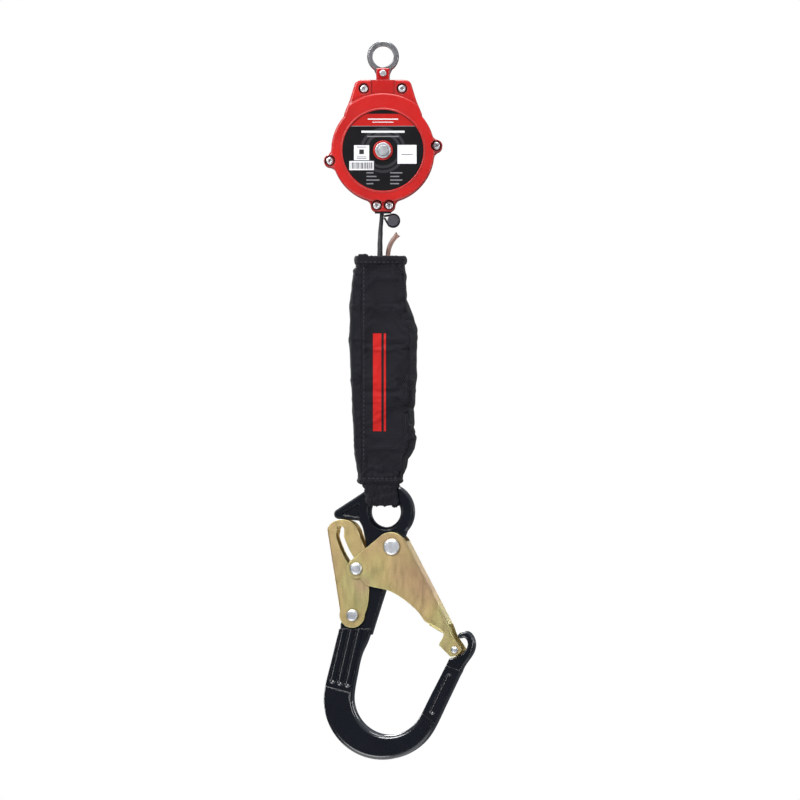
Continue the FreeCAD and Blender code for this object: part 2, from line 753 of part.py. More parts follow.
def hook_nose():
    """Curled end of the leg that catches the pin of the gate."""
    return outline(
        (52.4, -133.8),
        (56.7, -125.4),
        [(62.0, -123.6), (67.4, -121.2), (71.2, -117.6), (72.6, -113.2),
         (71.4, -109.2), (68.8, -107.6), (66.4, -108.4)],
        ((64.2, -107.6), (64.7, -104.8)),
        [(67.6, -102.7), (71.4, -102.4), (75.8, -106.1), (78.0, -113.6),
         (76.5, -120.5), (73.1, -126.0), (66.4, -137.2)],
        (64.6, -140.4),
    )


def slot_line():
    """Path of the gate's lock rivet seen from the lock lever."""
    points = []
    for i in range(13):
        angle = -1.0 + (GATE_TRAVEL + 2.0) * i / 12
        pin = turned(LOCK_PIN, GATE_PIVOT, angle)
        points.append(turned(pin, LEVER_PIVOT, -LEVER_RATIO * angle))
    return points


def channel(face, inner, levels, bend, *marks):
    """Folded sheet: two cheeks and a spine whose bends pass the marks."""
    body = slab(face, -levels[1], levels[1])
    folds = []
    for y in (-levels[1], levels[1]):
        corners = [Part.Vertex(at(*mark, y)) for mark in marks]
        folds += [edge for edge in level_edges(body, y)
                  if any(edge.distToShape(corner)[0] < 0.05 for corner in corners)]
    body = body.makeFillet(bend, folds)
    return body.cut(slab(inner, -levels[0], levels[0]))


def lever_node():
    """Lock lever with its curved slot."""
    face = outline(
        (-50.7, -15.8),
        (-39.4, -86.0),
        ((-28.6, -99.8), (-17.6, -88.5)),
        [(-14.2, -76.0), (-13.8, -64.0), (-15.2, -46.0), (-17.1, -31.7),
         (-20.6, -23.6), (-23.4, -16.0), (-28.4, -9.6), (-35.6, -7.0),
         (-44.2, -8.3), (-50.7, -15.8)],
    )
    inner = polygon([(-48.6, -16.0), (-37.8, -83.0), (-60, -83.0), (-60, -110.0), (0, -110),
                     (0, 5), (-60, 5), (-60, -16.0)])
    body = channel(face, inner, LEVER_Y, 1.4, (-45.05, -50.9))
    slot = slab(strip(slot_line(), SLOT_HALF, True), -20, 20)
    top = slab(strip([(-38.9, -15.8), (-39.3, -22.5)], SLOT_HALF - 0.1, True), -20, 20)
    return body.cut([slot, top, rod(*LEVER_PIVOT, 3.0 + FIT, -20, 20)])


def gate_node():
    """Gate pressed from one sheet, its spine on the outer side."""
    gx, gz = GATE_PIVOT
    px, pz = LOCK_PIN
    face = outline(
        (18.2, -23.6),
        (56.6, -95.6),
        [(58.4, -99.4), (60.2, -104.4), (64.0, -110.6), (68.6, -117.4)],
        (67.4, -119.4),
        ((63.2, -122.8), (58.6, -124.0)),
        (48.6, -114.2),
        [(50.4, -110.0), (52.3, -106.4), (52.1, -102.7)],
        (40.1, -95.8),
        [(37.5, -94.8), (32.4, -88.6), (27.2, -82.9), (12.9, -72.0), (-0.3, -66.3),
         (-13.8, -63.2), (px + 3.6, pz - 7.6)],
        ((px - 5.6, pz - 6.3), (px - 5.4, pz + 6.4)),
        (-4.6, -22.2),
        ((gx - 2.0, gz + 12.4), (gx + 9.2, gz + 8.4)),
    )
    inner = polygon([(17.0, -25.6), (54.5, -96.0), (75, -97.0), (75, -140), (-60, -140),
                     (-60, 0), (30, 0), (30, -22)])
    body = channel(face, inner, GATE_Y, 2.4, (37.4, -59.6), (60.2, -104.4))
    axis = at(12.0, -6.9)
    beads = []
    for y in (-9.0, 9.0):
        bead = Part.makeCylinder(1.3, axis.Length, at(40.1, -95.8, y), axis)
        beads.append(bead)
    body = body.fuse(beads).removeSplitter()
    holes = [
        rod(gx, gz, 3.5 + FIT, -20, 20),
        rod(px, pz, 3.04, -20, 20),
        rod(*NOSE_PIN, 2.04, -20, 20),
    ]
    return body.cut(holes)


def hook_solid():
    """Forged hook: flat upper body, fluted shank, thick bowl and nose."""
    plate = slab(hook_plate(), -PLATE_HALF, PLATE_HALF)
    rims = level_edges(plate, -PLATE_HALF) + level_edges(plate, PLATE_HALF)
    plate = plate.makeChamfer(1.2, [e for e in rims if e.BoundBox.ZLength > 0.5])
    bowl = slab(hook_bowl(), -BOWL_HALF, BOWL_HALF)
    bowl = softened(bowl, 3.4, -BOWL_HALF, BOWL_HALF, shortest=30.0)
    trim = polygon([(-70, -90), (-70, -146), (-14, -160), (0, -120), (26, -167),
                    (56, -190), (95, -190), (95, -90)])
    trim = slab(trim, -20, 20)
    upper = bowl.common(trim)
    upper = upper.common(block(-70, 95, -SHANK_HALF, SHANK_HALF, -190, -90))
    lower = bowl.cut(trim)
    nose = softened(slab(hook_nose(), -NOSE_HALF, NOSE_HALF), 1.6, -NOSE_HALF, NOSE_HALF)
    body = joined([plate, lower.fuse(upper), nose])
    bores = [rod(0, 0, HOOK_EYE, -20, 20)]
    for y, way in ((-PLATE_HALF, 1), (PLATE_HALF, -1)):
        bores.append(Part.makeCone(HOOK_EYE + 2.7, HOOK_EYE, 2.7, at(0, 0, y), at(0, 0, way)))
    pocket = polygon([(-40.6, -2.7, 1.4), (-22.6, 8.0, 1.4), (-22.6, -5.0, 1.4)])
    bores += [slab(pocket, -9, -PLATE_HALF + 1.8), slab(pocket, PLATE_HALF - 1.8, 9)]
    bores.append(rod(*GATE_PIVOT, 3.55, -20, 20))
    bores.append(rod(*LEVER_PIVOT, 3.05, -20, 20))
    bores.append(rod(*LEVER_PIVOT, 7.9, -9, -PLATE_HALF + 2.6))
    flutes = [((-28.2 + 7.0 * i, -99.0), (-39.5 + 6.6 * i, -146.5 - 1.6 * i), 3.6)
              for i in (-1, 0, 1)]
    flutes.append(((56.4, -141.0), (41.8, -171.0), 3.2))
    for start, end, radius in flutes:
        for y in (-SHANK_HALF - 1.9, SHANK_HALF + 1.9):
            start_y, end_y = at(*start, y), at(*end, y)
            along = end_y.sub(start_y)
            bores.append(Part.makeCylinder(radius, along.Length, start_y, along))
            bores.append(Part.makeSphere(radius, end_y))
    bores += [Part.makeSphere(3.2, at(56.4, -141.0, y)) for y in
              (-SHANK_HALF - 1.9, SHANK_HALF + 1.9)]
    return body.cut(bores)


def torsion_spring(centre, radius, wire, turns, y, leg):
    """Close wound coil about a pivot with one straight leg."""
    pitch = 2.2 * wire
    helix = Part.makeHelix(pitch, pitch * turns, radius)
    start = FreeCAD.Vector(radius, 0, 0)
    section = Part.Wire(Part.makeCircle(wire, start, FreeCAD.Vector(0, 1, 0)))
    coil = Part.Wire(helix).makePipeShell([section], True, True)
    coil.rotate(FreeCAD.Vector(0, 0, 0), FreeCAD.Vector(1, 0, 0), -90)
    coil.translate(at(centre[0], centre[1], y))
    arm = Part.makeCylinder(wire, leg[2], at(centre[0] + leg[0] * radius,
                            centre[1] + leg[1] * radius, y), at(leg[1], -leg[0]))
    return coil.fuse(arm)


def hook_nodes():
    """Hook body and its fixed pins, then the gate and lever families."""
    gx, gz = GATE_PIVOT
    spacers = [ring(gx, gz, 7.0, 3.55, 5.1, 7.8)]
    spacers.append(mirrored(spacers[0]))
    nose_pin = rivet(NOSE_PIN, 2.0, 3.0, GATE_Y[1] + 0.05, 0.9)
    lock = rivet(LOCK_PIN, 3.0, 5.4, GATE_Y[1] + 0.05, 2.0)
    nodes = {
        "hook_body": hook_solid(),
        "gate_rivet": rivet(GATE_PIVOT, 3.5, 7.1, GATE_Y[1] + 0.3, 2.3),
        "gate_spacers": Part.makeCompound(spacers),
        "lever_rivet": rivet(LEVER_PIVOT, 3.0, 5.1, LEVER_Y[1] + 0.3, 1.7),
        "gate_spring": torsion_spring(GATE_PIVOT, 8.0, 0.45, 1.75, 5.65, (1, 0, 12.0)),
        "lever_spring": torsion_spring(LEVER_PIVOT, 6.2, 0.4, 1.75, -4.6, (-1, 0, 3.4)),
        "gate_channel": gate_node(),
        "lock_rivet": lock,
        "nose_pin": nose_pin,
        "lock_lever": lever_node(),
    }
    return {name: at_hook(shape) for name, shape in nodes.items()}


# --------------------------------------------------------------------- main
def all_nodes():
    """Every node of the assembly by name."""
    nodes = anchor_nodes()
    nodes.update(housing_nodes())
    nodes["ratchet_ring"] = brake_ring()
    nodes.update(spring_nodes())
    nodes["web_lead"] = web_lead()
    nodes["roller_left"] = roller(4)
    nodes["roller_right"] = roller(5)
    nodes.update(drum_nodes())
    nodes["pawl_upper"] = pawl(1)
    nodes["pawl_lower"] = pawl(-1)
    nodes.update(pack_nodes())
    nodes.update(hook_nodes())
    return nodes


os.makedirs("parts", exist_ok=True)
for node_name, node_shape in all_nodes().items():
    node_shape.exportStep("parts/" + node_name + ".step")
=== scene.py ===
"""Looks of the self retracting lifeline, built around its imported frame."""
import json
import math
import bpy
import bmesh
import numpy as np
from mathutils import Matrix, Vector, noise


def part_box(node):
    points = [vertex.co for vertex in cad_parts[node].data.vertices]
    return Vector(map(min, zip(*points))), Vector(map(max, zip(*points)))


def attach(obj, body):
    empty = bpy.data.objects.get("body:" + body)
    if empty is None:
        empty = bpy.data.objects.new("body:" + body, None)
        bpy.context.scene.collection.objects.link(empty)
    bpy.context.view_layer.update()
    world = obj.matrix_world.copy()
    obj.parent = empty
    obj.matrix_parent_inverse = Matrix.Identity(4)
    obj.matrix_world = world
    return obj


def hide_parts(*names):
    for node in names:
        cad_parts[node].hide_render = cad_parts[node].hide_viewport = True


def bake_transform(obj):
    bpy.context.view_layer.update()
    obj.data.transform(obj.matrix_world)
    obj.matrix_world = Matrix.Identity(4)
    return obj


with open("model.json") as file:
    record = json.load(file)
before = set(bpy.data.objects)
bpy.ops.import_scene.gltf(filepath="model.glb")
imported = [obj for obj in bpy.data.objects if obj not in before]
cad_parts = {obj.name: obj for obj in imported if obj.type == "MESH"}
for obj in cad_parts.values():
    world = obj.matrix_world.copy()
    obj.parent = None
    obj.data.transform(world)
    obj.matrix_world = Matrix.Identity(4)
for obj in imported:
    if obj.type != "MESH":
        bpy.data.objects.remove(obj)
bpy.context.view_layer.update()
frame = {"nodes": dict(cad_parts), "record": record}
MM = 0.001

HUB = Vector((0.0, 0.0, -0.0813))
HOOK_EYE = Vector((0.0029, 0.0, -0.3912))
HOOK_TURN = math.radians(-13.0)
WEB_HALF = 0.0083
WEB_THICK = 0.0022


# ---------------------------------------------------------------- materials
class Look:
    """A procedural material and short ways to wire its nodes."""

    def __init__(self, name, color, rough, metal=0.0, space="Object", **sockets):
        self.mat = bpy.data.materials.new(name)
        self.mat.use_nodes = True
        self.tree = self.mat.node_tree
        self.bsdf = self.tree.nodes["Principled BSDF"]
        self.set("Base Color", (*color, 1.0))
        self.set("Roughness", rough)
        self.set("Metallic", metal)
        for key, value in sockets.items():
            self.set(key.replace("_", " "), value)
        self.coords = self.node("ShaderNodeTexCoord").outputs[space]

    def set(self, socket, value):
        self.bsdf.inputs[socket].default_value = value

    def node(self, kind, **settings):
        made = self.tree.nodes.new(kind)
        for key, value in settings.items():
            setattr(made, key, value)
        return made

    def link(self, a, b):
        self.tree.links.new(a, b)

    def mapped(self, scale, turn=(0.0, 0.0, 0.0)):
        """The material's coordinates, turned and stretched."""
        made = self.node("ShaderNodeMapping")
        made.inputs["Scale"].default_value = scale
        made.inputs["Rotation"].default_value = turn
        self.link(self.coords, made.inputs["Vector"])
        return made.outputs["Vector"]

    def noise(self, scale, detail=3.0, stretch=(1.0, 1.0, 1.0), rough=0.5):
        made = self.node("ShaderNodeTexNoise")
        made.inputs["Scale"].default_value = scale
        made.inputs["Detail"].default_value = detail
        made.inputs["Roughness"].default_value = rough
        self.link(self.mapped(stretch), made.inputs["Vector"])
        return made.outputs["Fac"]

    def wave(self, axis, scale, turn=(0.0, 0.0, 0.0), distortion=0.0):
        made = self.node("ShaderNodeTexWave", bands_direction=axis)
        made.inputs["Scale"].default_value = scale
        made.inputs["Distortion"].default_value = distortion
        self.link(self.mapped((1.0, 1.0, 1.0), turn), made.inputs["Vector"])
        return made.outputs["Fac"]

    def ramp(self, value, stops):
        made = self.node("ShaderNodeValToRGB")
        ramp = made.color_ramp
        while len(ramp.elements) < len(stops):
            ramp.elements.new(0.5)
        for element, (place, color) in zip(ramp.elements, stops):
            element.position = place
            element.color = (*color, 1.0)
        self.link(value, made.inputs["Fac"])
        return made.outputs["Color"]

    def spread(self, value, low, high):
        """Maps 0..1 onto low..high."""
        made = self.node("ShaderNodeMapRange")
        made.inputs["To Min"].default_value = low
        made.inputs["To Max"].default_value = high
        self.link(value, made.inputs["Value"])
        return made.outputs["Result"]

    def edges(self, radius, samples=6):
        """0 on open faces, rising to 1 along the edges."""
        bevel = self.node("ShaderNodeBevel", samples=samples)
        bevel.inputs["Radius"].default_value = radius
        dot = self.node("ShaderNodeVectorMath", operation="DOT_PRODUCT")
        self.link(bevel.outputs["Normal"], dot.inputs[0])
        self.link(self.node("ShaderNodeNewGeometry").outputs["Normal"], dot.inputs[1])
        made = self.node("ShaderNodeMapRange")
        made.inputs["From Min"].default_value = 0.985
        made.inputs["From Max"].default_value = 0.82
        self.link(dot.outputs["Value"], made.inputs["Value"])
        return made.outputs["Result"]

    def painted_corner_shade(self, distance):
        """Painted shade mask: 1 in the open, falling towards 0 in corners and holes, where shadow
        falls.
        """
        made = self.node("ShaderNodeAmbientOcclusion", samples=6)
        made.inputs["Distance"].default_value = distance
        return made.outputs["AO"]

    def mixed(self, factor, a, b):
        """Colour a blended into b; b may be a plain colour."""
        made = self.node("ShaderNodeMix", data_type="RGBA")
        self.link(factor, made.inputs["Factor"])
        for socket, value in ((made.inputs[6], a), (made.inputs[7], b)):
            if isinstance(value, tuple):
                socket.default_value = (*value, 1.0)
            else:
                self.link(value, socket)
        return made.outputs[2]

    def paint(self, color):
        self.link(color, self.bsdf.inputs["Base Color"])

    def math(self, operation, a, b):
        made = self.node("ShaderNodeMath", operation=operation)
        for socket, value in zip(made.inputs, (a, b)):
            if isinstance(value, (int, float)):
                socket.default_value = value
            else:
                self.link(value, socket)
        return made.outputs["Value"]

    def color(self, value, *stops):
        self.link(self.ramp(value, stops), self.bsdf.inputs["Base Color"])

    def rough(self, value, low, high):
        self.link(self.spread(value, low, high), self.bsdf.inputs["Roughness"])

    def bump(self, value, strength, distance, bevel=0.0):
        made = self.node("ShaderNodeBump")
        made.inputs["Strength"].default_value = strength
        made.inputs["Distance"].default_value = distance
        self.link(value, made.inputs["Height"])
        if bevel:
            edge = self.node("ShaderNodeBevel", samples=4)
            edge.inputs["Radius"].default_value = bevel
            self.link(edge.outputs["Normal"], made.inputs["Normal"])
        self.link(made.outputs["Normal"], self.bsdf.inputs["Normal"])


def tinted(color, factor):
    return tuple(min(1.0, c * factor) for c in color)


def moulded(name, color, rough, bevel=0.0004, worn=0.0, **sockets):
    """Moulded or enamelled surface: faint mottling, fine skin, softened edges, painted shade in
    corners and holes.
    """
    look = Look(name, color, rough, **sockets)
    shade = look.ramp(look.noise(38.0, 4.0), [(0.3, tinted(color, 0.88)),
                                              (0.7, tinted(color, 1.1))])
    if worn:
        specks = look.math("MULTIPLY", look.edges(bevel), look.noise(700.0, 4.0))
        shade = look.mixed(look.math("MULTIPLY", specks, worn), shade,
                           tuple(0.5 * c + 0.2 for c in color))
    # painted shade: the colour darkens towards a dark tint in corners and holes
    if bevel:
        shade = look.mixed(look.painted_corner_shade(0.0025), tinted(color, 0.35), shade)
    look.paint(shade)
    look.rough(look.noise(90.0, 5.0), rough * 0.8, rough * 1.25)
    look.bump(look.noise(520.0, 3.0), 0.05, 0.0004, bevel)
    return look.mat


def metal(name, color, rough, bevel=0.0003, scratch=0.12, bright=1.3):
    """Bare or plated metal: tool marks, uneven gloss, brighter edges that are partly rubbed wear
    and partly painted highlight, and painted shade in corners and holes.
    """
    look = Look(name, color, rough, 1.0)
    marks = look.noise(420.0, 5.0, (1.0, 1.0, 0.12))
    shade = look.ramp(look.noise(150.0, 5.0), [(0.3, tinted(color, 0.8)),
                                               (0.72, tinted(color, 1.12))])
    # brighter edges: partly rubbed wear, partly a painted highlight
    shade = look.mixed(look.edges(bevel * 1.5), shade, tinted(color, bright))
    # painted shade: the colour darkens in corners and holes
    shade = look.mixed(look.painted_corner_shade(0.002), tinted(color, 0.2), shade)
    look.paint(shade)
    look.rough(marks, rough * 0.7, rough * 1.4)
    look.bump(marks, scratch, 0.0002, bevel)
    return look.mat


def gold_plate(name):
    """Yellow passivated zinc: fine grain, drifting pink and green, painted highlight along the
    bends, painted shade in hollows.
    """
    base = (0.62, 0.46, 0.20)
    look = Look(name, base, 0.34, 1.0)
    drift = look.noise(26.0, 2.0, (1.0, 0.4, 0.7), 0.5)
    shade = look.ramp(drift, [(0.30, (0.60, 0.40, 0.23)), (0.44, (0.64, 0.47, 0.235)),
                              (0.54, (0.66, 0.52, 0.23)), (0.66, (0.60, 0.55, 0.24)),
                              (0.80, (0.62, 0.42, 0.27))])
    grain = look.noise(1300.0, 3.0)
    shade = look.mixed(look.spread(grain, -0.25, 0.75), shade, (0.36, 0.25, 0.12))
    # painted highlight: the bends and edges are coloured pale and bright
    shade = look.mixed(look.edges(0.0011), shade, (0.86, 0.80, 0.34))
    # painted shade: the colour darkens in hollows
    shade = look.mixed(look.painted_corner_shade(0.0022), (0.14, 0.09, 0.03), shade)
    look.paint(shade)
    look.rough(look.noise(240.0, 5.0, (1.0, 1.0, 0.4)), 0.27, 0.46)
    look.bump(grain, 0.22, 0.00025, 0.0005)
    return look.mat


def webbing(name, color, rib=0.0011, space="UV", axes="YX"):
    """Narrow woven band, its ribs and yarns spaced in metres along two axes."""
    look = Look(name, color, 0.8, space=space, Sheen_Weight=0.05, Sheen_Roughness=0.5,
                Specular_IOR_Level=0.2)
    across = look.wave(axes[0], 0.314 / rib, distortion=0.5)
    along = look.wave(axes[1], 0.314 / (rib * 1.3), distortion=0.5)
    woven = look.math("MULTIPLY", look.spread(across, 0.25, 1.0), look.spread(along, 0.4, 1.0))
    look.color(woven, (0.12, tinted(color, 0.3)), (0.85, tinted(color, 2.4)))
    look.rough(look.noise(400.0), 0.65, 0.9)
    look.bump(woven, 0.9, 0.0005)
    return look.mat


def ballistic(name, color, pitch=0.0013):
    """Coarse nylon cloth, its u round the bag and v down it, in metres."""
    look = Look(name, color, 0.7, space="UV", Sheen_Weight=0.04, Sheen_Roughness=0.4)
    look.set("Specular IOR Level", 0.2)
    one = look.wave("X", 0.314 / pitch, (0.0, 0.0, 0.62), 0.35)
    two = look.wave("X", 0.314 / pitch, (0.0, 0.0, -0.62), 0.35)
    woven = look.math("MULTIPLY", look.spread(one, 0.1, 1.0), look.spread(two, 0.1, 1.0))
    lint = look.noise(1500.0, 2.0)
    shade = look.ramp(woven, [(0.10, tinted(color, 0.25)), (0.45, tinted(color, 1.1)),
                              (0.95, tinted(color, 3.2))])
    shade = look.mixed(look.spread(look.noise(45.0, 3.0), 0.0, 0.35), shade,
                       tinted(color, 0.5))
    look.paint(shade)
    look.rough(look.noise(60.0), 0.6, 0.85)
    look.bump(look.math("ADD", woven, look.math("MULTIPLY", lint, 0.25)), 0.8, 0.0005)
    return look.mat


MATERIALS = {
    "eye_steel": metal("eye_steel", (0.30, 0.30, 0.31), 0.36, 0.0009, 0.3, 1.9),
    "red_clevis": moulded("red_clevis", (0.42, 0.007, 0.007), 0.2, 0.0005, 0.5,
                          Coat_Weight=0.6, Coat_Roughness=0.08),
    "zinc_steel": metal("zinc_steel", (0.84, 0.85, 0.87), 0.36, 0.0005),
    "red_housing": moulded("red_housing", (0.46, 0.008, 0.006), 0.32, 0.0007, 0.5,
                           Coat_Weight=0.25, Coat_Roughness=0.18),
    "label_print": moulded("label_print", (0.004, 0.004, 0.005), 0.4, 0.0,
                           Specular_IOR_Level=0.2),
    "black_plastic": moulded("black_plastic", (0.012, 0.012, 0.014), 0.5, 0.0004, 0.2),
    "drum_aluminium": metal("drum_aluminium", (0.62, 0.63, 0.65), 0.35),
    "bronze": metal("bronze", (0.55, 0.36, 0.16), 0.35),
    "spring_steel": metal("spring_steel", (0.33, 0.33, 0.35), 0.35),
    "black_webbing": webbing("black_webbing", (0.014, 0.014, 0.018), 0.0011, "Object", "ZY"),
    "grey_plastic": moulded("grey_plastic", (0.055, 0.055, 0.066), 0.4, 0.0006, 0.3),
    "pouch_fabric": ballistic("pouch_fabric", (0.010, 0.010, 0.015)),
    "clear_tail": moulded("clear_tail", (0.46, 0.27, 0.22), 0.35, 0.0,
                          Transmission_Weight=0.45, IOR=1.45),
    "black_forging": moulded("black_forging", (0.004, 0.005, 0.008), 0.17, 0.0010, 0.12,
                             Coat_Weight=0.8, Coat_Roughness=0.05),
    "gold_zinc": gold_plate("gold_zinc"),
}

BAND = webbing("woven_band", (0.014, 0.014, 0.018))
RIVET = metal("rivet_steel", (0.80, 0.82, 0.86), 0.30, 0.0026, 0.06, 1.15)

slots = {p["node"]: p["material_slot"] for p in frame["record"]["subparts"]}
for node_name, node_obj in frame["nodes"].items():
    node_obj.data.materials.clear()
    node_obj.data.materials.append(MATERIALS[slots[node_name]])
for node_name in ("gate_rivet", "lock_rivet", "lever_rivet", "nose_pin"):
    frame["nodes"][node_name].data.materials[0] = RIVET


# ------------------------------------------------------------------ helpers
def mesh_object(name, verts, faces, mat, smooth=True):
    mesh = bpy.data.meshes.new(name)
    mesh.from_pydata([tuple(v) for v in verts], [], faces)
    mesh.materials.append(mat)
    for poly in mesh.polygons:
        poly.use_smooth = smooth
    obj = bpy.data.objects.new(name, mesh)
    bpy.context.scene.collection.objects.link(obj)
    return obj


def grid_object(name, verts, rows, cols, mat, closed=False, keep=None):
    """Quad sheet with a UV map in metres: u round each row, v down the rows."""
    faces = grid_faces(rows, cols, closed)
    spots = [Vector(v) for v in verts]
    mid = rows // 2
    round_ = [0.0]
    for j in range(cols):
        a, b = spots[mid * cols + j], spots[mid * cols + (j + 1) % cols]
        round_.append(round_[-1] + (b - a).length)
    down = [0.0]
    for i in range(rows - 1):
        down.append(down[-1] + (spots[(i + 1) * cols] - spots[i * cols]).length)
    wide = cols if closed else cols - 1
    corners = []
    kept = []
    for n, face in enumerate(faces):
        if keep and not keep(sum((spots[k] for k in face), Vector()) / 4):
            continue
        i, j = divmod(n, wide)
        kept.append(face)
        corners += [(round_[j], down[i]), (round_[j + 1], down[i]),
                    (round_[j + 1], down[i + 1]), (round_[j], down[i + 1])]
    obj = mesh_object(name, spots, kept, mat)
    layer = obj.data.uv_layers.new(name="weave")
    layer.data.foreach_set("uv", [c for uv in corners for c in uv])
    return obj


def apply_modifiers(obj):
    """Leaves the object with its modifiers baked into the mesh."""
    graph = bpy.context.evaluated_depsgraph_get()
    made = bpy.data.meshes.new_from_object(obj.evaluated_get(graph))
    obj.modifiers.clear()
    obj.data = made
    return obj


def grid_faces(rows, cols, closed):
    """Quads of a rows by cols sheet, wrapped round if closed."""
    faces = []
    for i in range(rows - 1):
        for j in range(cols if closed else cols - 1):
            k = (j + 1) % cols
            faces.append((i * cols + j, i * cols + k, (i + 1) * cols + k, (i + 1) * cols + j))
    return faces


def wobble(x, y, z, scale, seed=0.0):
    """Smooth noise from -1 to 1, the scale in metres."""
    return noise.noise(Vector((x / scale + seed, y / scale - seed, z / scale + 2 * seed)))


def spline(a, b, c, d, t):
    """Catmull-Rom value between b and c, for vectors or arrays."""
    return 0.5 * (2 * b + (c - a) * t + (2 * a - 5 * b + 4 * c - d) * t * t
                  + (3 * b - a - 3 * c + d) * t ** 3)


def smooth_path(points, count):
    """Even points along a Catmull-Rom curve through the given ones."""
    pts = [Vector(p) for p in points]
    pts = [pts[0] * 2 - pts[1]] + pts + [pts[-1] * 2 - pts[-2]]
    fine = []
    for i in range(1, len(pts) - 2):
        for k in range(24):
            fine.append(spline(*pts[i - 1:i + 3], k / 24.0))
    fine.append(pts[-2])
    steps = np.cumsum([0.0] + [(b - a).length for a, b in zip(fine, fine[1:])])
    out = []
    for s in np.linspace(0.0, steps[-1], count):
        i = min(int(np.searchsorted(steps, s)), len(fine) - 1)
        i = max(i, 1)
        t = (s - steps[i - 1]) / max(steps[i] - steps[i - 1], 1e-12)
        out.append(fine[i - 1].lerp(fine[i], t))
    return out


def band(name, path, across, thick, mat, waver=0.0, seed=0.0):
    """Flat strap of rounded section along a path; across gives its half width."""
    section = []
    for a in range(28):
        t = 2 * math.pi * a / 28
        u = math.copysign(abs(math.cos(t)) ** 0.3, math.cos(t))
        w = math.copysign(abs(math.sin(t)) ** 0.6, math.sin(t))
        section.append((u, w * thick / 2))
    verts = []
    last = len(path) - 1
    for i, p in enumerate(path):
        along = (path[min(i + 1, last)] - path[max(i - 1, 0)]).normalized()
        side = across(i / last)
        up = along.cross(side).normalized()
        for u, w in section:
            q = p + side * u + up * w
            q += up * (waver * wobble(q.x, q.y, q.z, 0.006, seed))
            verts.append(q)
    obj = grid_object(name, verts, len(path), 28, mat, True)
    bm = bmesh.new()
    bm.from_mesh(obj.data)
    bmesh.ops.holes_fill(bm, edges=[e for e in bm.edges if e.is_boundary], sides=0)
    bm.to_mesh(obj.data)
    bm.free()
    return obj


# ------------------------------------------------------- labels on the covers
WHITE_INK = moulded("white_ink", (0.72, 0.72, 0.73), 0.4, 0.0)
RED_INK = moulded("red_ink", (0.42, 0.008, 0.006), 0.4, 0.0, Specular_IOR_Level=0.25)
GREY_INK = moulded("grey_ink", (0.20, 0.20, 0.21), 0.4, 0.0)
SHADE_INK = moulded("shade_ink", (0.030, 0.030, 0.034), 0.4, 0.0, Specular_IOR_Level=0.2)
DARK_INK = moulded("dark_ink", (0.015, 0.015, 0.016), 0.4, 0.0)


LABEL_FACE = 0.0230 - 0.00055
LABEL_REACH = 0.0342
INK_THICK = 0.00004
INK_STEP = 0.0004


def clipped_rect(x0, x1, z0, z1):
    """Rectangle cut by the label's rim: its points about the hub, and its faces."""
    verts = []
    faces = []
    cols = max(2, int((x1 - x0) / INK_STEP))
    for i in range(cols + 1):
        x = x0 + (x1 - x0) * i / cols
        reach = math.sqrt(max(LABEL_REACH * LABEL_REACH - x * x, 0.0))
        low, high = max(z0, -reach), min(z1, reach)
        verts += [(x, low), (x, max(high, low))]
        if i:
            a = 2 * i - 2
            faces.append((a, a + 2, a + 3, a + 1))
    return verts, faces


def ink_sheet(name, verts, faces, mat):
    obj = mesh_object(name, verts, faces, mat, False)
    obj.modifiers.new("t", "SOLIDIFY").thickness = INK_THICK
    apply_modifiers(obj)
    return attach(obj, "housing")


def ink(name, side, x0, x1, z0, z1, mat, lift):
    """Thin printed patch on a label; side is -1 in front and 1 behind."""
    flat, faces = clipped_rect(x0, x1, z0, z1)
    y = side * (LABEL_FACE + lift)
    verts = [(HUB.x + (-side) * x, y, HUB.z + z) for x, z in flat]
    return ink_sheet(name, verts, faces, mat)


def ink_ring(name, side, radius, width, mat, lift):
    """Plain ring about the hub, printed on a label."""
    count = 96
    verts = []
    for i in range(count):
        a = 2 * math.pi * i / count
        for r in (radius - width / 2, radius + width / 2):
            verts.append((HUB.x + (-side) * r * math.cos(a), side * (LABEL_FACE + lift),
                          HUB.z + r * math.sin(a)))
    faces = [(2 * i, 2 * i + 1, (2 * i + 3) % (2 * count), (2 * i + 2) % (2 * count))
             for i in range(count)]
    return ink_sheet(name, verts, faces, mat)


